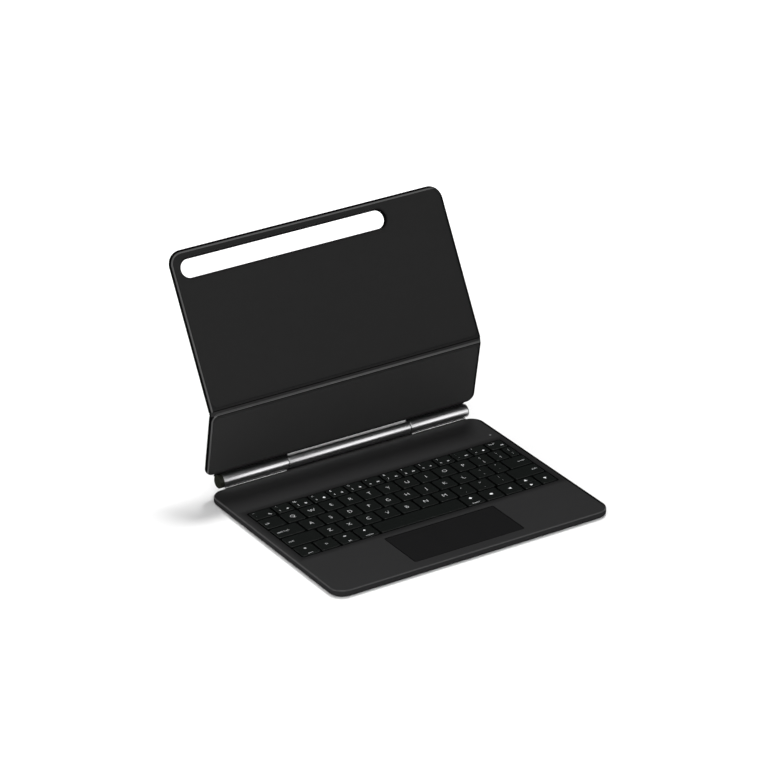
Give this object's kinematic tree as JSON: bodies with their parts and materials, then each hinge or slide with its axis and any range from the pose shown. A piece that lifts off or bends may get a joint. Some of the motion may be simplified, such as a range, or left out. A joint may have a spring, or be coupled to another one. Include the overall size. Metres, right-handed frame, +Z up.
{
  "type": "tablet keyboard case",
  "caption": "Folding keyboard case for a tablet: thin keyboard base with trackpad, polished barrel hinge and a creased magnetic back panel with a long camera and pen window.",
  "frame": {"origin": "middle of the flat underside of the base", "axes": "+X to the typist's right, +Y to the back, +Z up"},
  "size_m": [0.258, 0.2565, 0.1965],
  "materials": {
    "shell": "soft-touch black",
    "keycap": "fine matt black with white legends",
    "touch_surface": "satin black",
    "panel_skin": "fine-grained artificial leather",
    "panel_lining": "short-napped microfibre",
    "panel_core": "glass-fibre sheet",
    "polished_tube": "polished",
    "end_cap": "matt black",
    "hinge_steel": "drawn",
    "key_steel": "blackened",
    "key_link": "moulded",
    "key_dome": "translucent grey",
    "circuit_film": "printed black film",
    "circuit_board": "solder resist",
    "switch_body": "moulded",
    "cell_pouch": "foil pouch",
    "socket_shell": "drawn shell",
    "light_lens": "frosted lens",
    "magnet": "nickel plated"
  },
  "bodies": {
    "base": {"bottom_cover": "shell", "deck_cover": "shell", "key_plate": "key_steel", "membrane_sheet": "circuit_film", "scissor_links": "key_link", "rubber_domes": "key_dome", "trackpad_switch": "switch_body", "battery_cell": "cell_pouch", "control_board": "circuit_board", "charge_socket": "socket_shell", "status_light": "light_lens", "outer_hinge_tubes": "polished_tube", "hinge_end_caps": "end_cap", "friction_sleeves": "hinge_steel", "base_hinge_leaves": "hinge_steel", "leaf_screws": "hinge_steel"},
    "lower_panel": {"middle_hinge_tube": "polished_tube", "hinge_shafts": "hinge_steel", "panel_hinge_leaf": "hinge_steel", "lower_skin": "panel_skin", "lower_board": "panel_core", "lower_lining": "panel_lining", "fold_strip": "panel_skin"},
    "upper_panel": {"upper_skin": "panel_skin", "upper_board": "panel_core", "upper_lining": "panel_lining", "panel_magnets": "magnet"},
    "trackpad": {"trackpad_plate": "touch_surface", "trackpad_board": "circuit_board"},
    "key_space": {"key_space": "keycap"},
    "key_a": {"key_a": "keycap"},
    "key_b": {"key_b": "keycap"},
    "key_c": {"key_c": "keycap"},
    "key_d": {"key_d": "keycap"},
    "key_e": {"key_e": "keycap"},
    "key_f": {"key_f": "keycap"},
    "key_g": {"key_g": "keycap"},
    "key_h": {"key_h": "keycap"},
    "key_i": {"key_i": "keycap"},
    "key_j": {"key_j": "keycap"},
    "key_k": {"key_k": "keycap"},
    "key_l": {"key_l": "keycap"},
    "key_m": {"key_m": "keycap"},
    "key_n": {"key_n": "keycap"},
    "key_o": {"key_o": "keycap"},
    "key_p": {"key_p": "keycap"},
    "key_q": {"key_q": "keycap"},
    "key_r": {"key_r": "keycap"},
    "key_s": {"key_s": "keycap"},
    "key_t": {"key_t": "keycap"},
    "key_u": {"key_u": "keycap"},
    "key_v": {"key_v": "keycap"},
    "key_w": {"key_w": "keycap"},
    "key_x": {"key_x": "keycap"},
    "key_y": {"key_y": "keycap"},
    "key_z": {"key_z": "keycap"},
    "number_keys": {"number_keys": "keycap"},
    "punctuation_keys": {"punctuation_keys": "keycap"},
    "command_keys": {"command_keys": "keycap"},
    "arrow_keys": {"arrow_keys": "keycap"}
  },
  "joints": [
    {"name": "back_hinge", "type": "hinge", "parent": "base", "child": "lower_panel", "pos_m": [0, 0.1026, 0.012], "axis": [1, 0, 0], "range_deg": [-22, 79.16]},
    {"name": "cover_fold", "type": "hinge", "parent": "lower_panel", "child": "upper_panel", "pos_m": [0, 0.09377, 0.07914], "axis": [1, 0, 0], "range_deg": [0, 39.61]},
    {"name": "click_trackpad", "type": "hinge", "parent": "base", "child": "trackpad", "pos_m": [0, -0.0376, 0.00515], "axis": [1, 0, 0], "range_deg": [0, 0.55], "stiffness_Nm_per_rad": 1.5, "springref_deg": -0.57},
    {"name": "press_key_space", "type": "slide", "parent": "base", "child": "key_space", "axis": [0, 0, -1], "range_m": [0, 0.0011], "stiffness_N_per_m": 300, "springref_m": -0.0008, "deforming": ["rubber_domes", "scissor_links"]},
    {"name": "press_key_a", "type": "slide", "parent": "base", "child": "key_a", "axis": [0, 0, -1], "range_m": [0, 0.0011], "stiffness_N_per_m": 300, "springref_m": -0.0008, "deforming": ["rubber_domes", "scissor_links"]},
    {"name": "press_key_b", "type": "slide", "parent": "base", "child": "key_b", "axis": [0, 0, -1], "range_m": [0, 0.0011], "stiffness_N_per_m": 300, "springref_m": -0.0008, "deforming": ["rubber_domes", "scissor_links"]},
    {"name": "press_key_c", "type": "slide", "parent": "base", "child": "key_c", "axis": [0, 0, -1], "range_m": [0, 0.0011], "stiffness_N_per_m": 300, "springref_m": -0.0008, "deforming": ["rubber_domes", "scissor_links"]},
    {"name": "press_key_d", "type": "slide", "parent": "base", "child": "key_d", "axis": [0, 0, -1], "range_m": [0, 0.0011], "stiffness_N_per_m": 300, "springref_m": -0.0008, "deforming": ["rubber_domes", "scissor_links"]},
    {"name": "press_key_e", "type": "slide", "parent": "base", "child": "key_e", "axis": [0, 0, -1], "range_m": [0, 0.0011], "stiffness_N_per_m": 300, "springref_m": -0.0008, "deforming": ["rubber_domes", "scissor_links"]},
    {"name": "press_key_f", "type": "slide", "parent": "base", "child": "key_f", "axis": [0, 0, -1], "range_m": [0, 0.0011], "stiffness_N_per_m": 300, "springref_m": -0.0008, "deforming": ["rubber_domes", "scissor_links"]},
    {"name": "press_key_g", "type": "slide", "parent": "base", "child": "key_g", "axis": [0, 0, -1], "range_m": [0, 0.0011], "stiffness_N_per_m": 300, "springref_m": -0.0008, "deforming": ["rubber_domes", "scissor_links"]},
    {"name": "press_key_h", "type": "slide", "parent": "base", "child": "key_h", "axis": [0, 0, -1], "range_m": [0, 0.0011], "stiffness_N_per_m": 300, "springref_m": -0.0008, "deforming": ["rubber_domes", "scissor_links"]},
    {"name": "press_key_i", "type": "slide", "parent": "base", "child": "key_i", "axis": [0, 0, -1], "range_m": [0, 0.0011], "stiffness_N_per_m": 300, "springref_m": -0.0008, "deforming": ["rubber_domes", "scissor_links"]},
    {"name": "press_key_j", "type": "slide", "parent": "base", "child": "key_j", "axis": [0, 0, -1], "range_m": [0, 0.0011], "stiffness_N_per_m": 300, "springref_m": -0.0008, "deforming": ["rubber_domes", "scissor_links"]},
    {"name": "press_key_k", "type": "slide", "parent": "base", "child": "key_k", "axis": [0, 0, -1], "range_m": [0, 0.0011], "stiffness_N_per_m": 300, "springref_m": -0.0008, "deforming": ["rubber_domes", "scissor_links"]},
    {"name": "press_key_l", "type": "slide", "parent": "base", "child": "key_l", "axis": [0, 0, -1], "range_m": [0, 0.0011], "stiffness_N_per_m": 300, "springref_m": -0.0008, "deforming": ["rubber_domes", "scissor_links"]},
    {"name": "press_key_m", "type": "slide", "parent": "base", "child": "key_m", "axis": [0, 0, -1], "range_m": [0, 0.0011], "stiffness_N_per_m": 300, "springref_m": -0.0008, "deforming": ["rubber_domes", "scissor_links"]},
    {"name": "press_key_n", "type": "slide", "parent": "base", "child": "key_n", "axis": [0, 0, -1], "range_m": [0, 0.0011], "stiffness_N_per_m": 300, "springref_m": -0.0008, "deforming": ["rubber_domes", "scissor_links"]},
    {"name": "press_key_o", "type": "slide", "parent": "base", "child": "key_o", "axis": [0, 0, -1], "range_m": [0, 0.0011], "stiffness_N_per_m": 300, "springref_m": -0.0008, "deforming": ["rubber_domes", "scissor_links"]},
    {"name": "press_key_p", "type": "slide", "parent": "base", "child": "key_p", "axis": [0, 0, -1], "range_m": [0, 0.0011], "stiffness_N_per_m": 300, "springref_m": -0.0008, "deforming": ["rubber_domes", "scissor_links"]},
    {"name": "press_key_q", "type": "slide", "parent": "base", "child": "key_q", "axis": [0, 0, -1], "range_m": [0, 0.0011], "stiffness_N_per_m": 300, "springref_m": -0.0008, "deforming": ["rubber_domes", "scissor_links"]},
    {"name": "press_key_r", "type": "slide", "parent": "base", "child": "key_r", "axis": [0, 0, -1], "range_m": [0, 0.0011], "stiffness_N_per_m": 300, "springref_m": -0.0008, "deforming": ["rubber_domes", "scissor_links"]},
    {"name": "press_key_s", "type": "slide", "parent": "base", "child": "key_s", "axis": [0, 0, -1], "range_m": [0, 0.0011], "stiffness_N_per_m": 300, "springref_m": -0.0008, "deforming": ["rubber_domes", "scissor_links"]},
    {"name": "press_key_t", "type": "slide", "parent": "base", "child": "key_t", "axis": [0, 0, -1], "range_m": [0, 0.0011], "stiffness_N_per_m": 300, "springref_m": -0.0008, "deforming": ["rubber_domes", "scissor_links"]},
    {"name": "press_key_u", "type": "slide", "parent": "base", "child": "key_u", "axis": [0, 0, -1], "range_m": [0, 0.0011], "stiffness_N_per_m": 300, "springref_m": -0.0008, "deforming": ["rubber_domes", "scissor_links"]},
    {"name": "press_key_v", "type": "slide", "parent": "base", "child": "key_v", "axis": [0, 0, -1], "range_m": [0, 0.0011], "stiffness_N_per_m": 300, "springref_m": -0.0008, "deforming": ["rubber_domes", "scissor_links"]},
    {"name": "press_key_w", "type": "slide", "parent": "base", "child": "key_w", "axis": [0, 0, -1], "range_m": [0, 0.0011], "stiffness_N_per_m": 300, "springref_m": -0.0008, "deforming": ["rubber_domes", "scissor_links"]},
    {"name": "press_key_x", "type": "slide", "parent": "base", "child": "key_x", "axis": [0, 0, -1], "range_m": [0, 0.0011], "stiffness_N_per_m": 300, "springref_m": -0.0008, "deforming": ["rubber_domes", "scissor_links"]},
    {"name": "press_key_y", "type": "slide", "parent": "base", "child": "key_y", "axis": [0, 0, -1], "range_m": [0, 0.0011], "stiffness_N_per_m": 300, "springref_m": -0.0008, "deforming": ["rubber_domes", "scissor_links"]},
    {"name": "press_key_z", "type": "slide", "parent": "base", "child": "key_z", "axis": [0, 0, -1], "range_m": [0, 0.0011], "stiffness_N_per_m": 300, "springref_m": -0.0008, "deforming": ["rubber_domes", "scissor_links"]},
    {"name": "press_number_keys", "type": "slide", "parent": "base", "child": "number_keys", "axis": [0, 0, -1], "range_m": [0, 0.0011], "stiffness_N_per_m": 300, "springref_m": -0.0008, "deforming": ["rubber_domes", "scissor_links"]},
    {"name": "press_punctuation_keys", "type": "slide", "parent": "base", "child": "punctuation_keys", "axis": [0, 0, -1], "range_m": [0, 0.0011], "stiffness_N_per_m": 300, "springref_m": -0.0008, "deforming": ["rubber_domes", "scissor_links"]},
    {"name": "press_command_keys", "type": "slide", "parent": "base", "child": "command_keys", "axis": [0, 0, -1], "range_m": [0, 0.0011], "stiffness_N_per_m": 300, "springref_m": -0.0008, "deforming": ["rubber_domes", "scissor_links"]},
    {"name": "press_arrow_keys", "type": "slide", "parent": "base", "child": "arrow_keys", "axis": [0, 0, -1], "range_m": [0, 0.0011], "stiffness_N_per_m": 300, "springref_m": -0.0008, "deforming": ["rubber_domes", "scissor_links"]}
  ]
}
